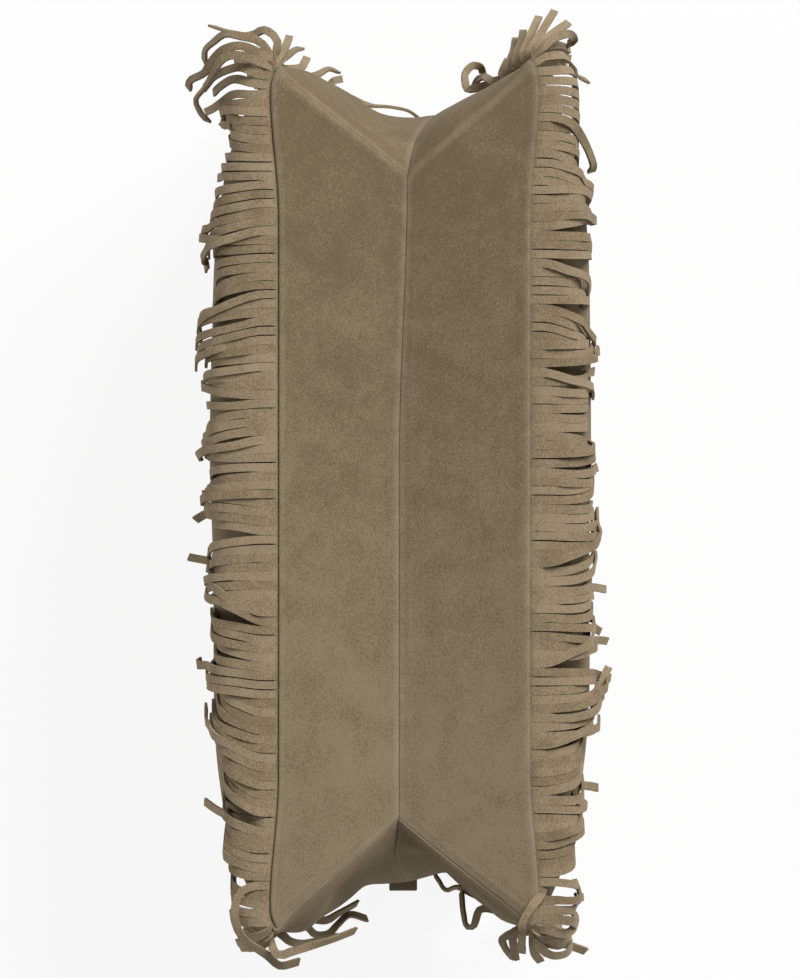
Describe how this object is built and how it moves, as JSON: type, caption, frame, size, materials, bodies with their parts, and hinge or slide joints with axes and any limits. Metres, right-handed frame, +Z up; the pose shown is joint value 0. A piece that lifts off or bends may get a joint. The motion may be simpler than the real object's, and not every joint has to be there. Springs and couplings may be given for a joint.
{
  "type": "fringed suede bag",
  "caption": "Soft suede shoulder bag standing on its mouth, base up, with folded end gussets and a long cut fringe sewn into the seam round its front and back panels.",
  "frame": {"origin": "middle of the mouth, on the surface that the bag stands on", "axes": "+X along the base from the left gusset to the right one, front panel facing -Y, +Z up from the mouth to the base. Half a turn about X puts the bag the way it is carried."},
  "size_m": [0.5058, 0.2068, 0.3026],
  "materials": {
    "body_suede": "napped suede, matt",
    "fringe_suede": "napped suede, matt, cut edges",
    "strap_suede": "napped suede, matt, two layers sewn together"
  },
  "bodies": {
    "root": {"front_panel": "body_suede", "front_base_half": "body_suede", "front_right_gusset": "body_suede", "front_left_gusset": "body_suede", "back_panel": "body_suede", "back_base_half": "body_suede", "back_right_gusset": "body_suede", "back_left_gusset": "body_suede", "front_fringe": "fringe_suede", "back_fringe": "fringe_suede", "shoulder_strap": "strap_suede"}
  },
  "joints": []
}
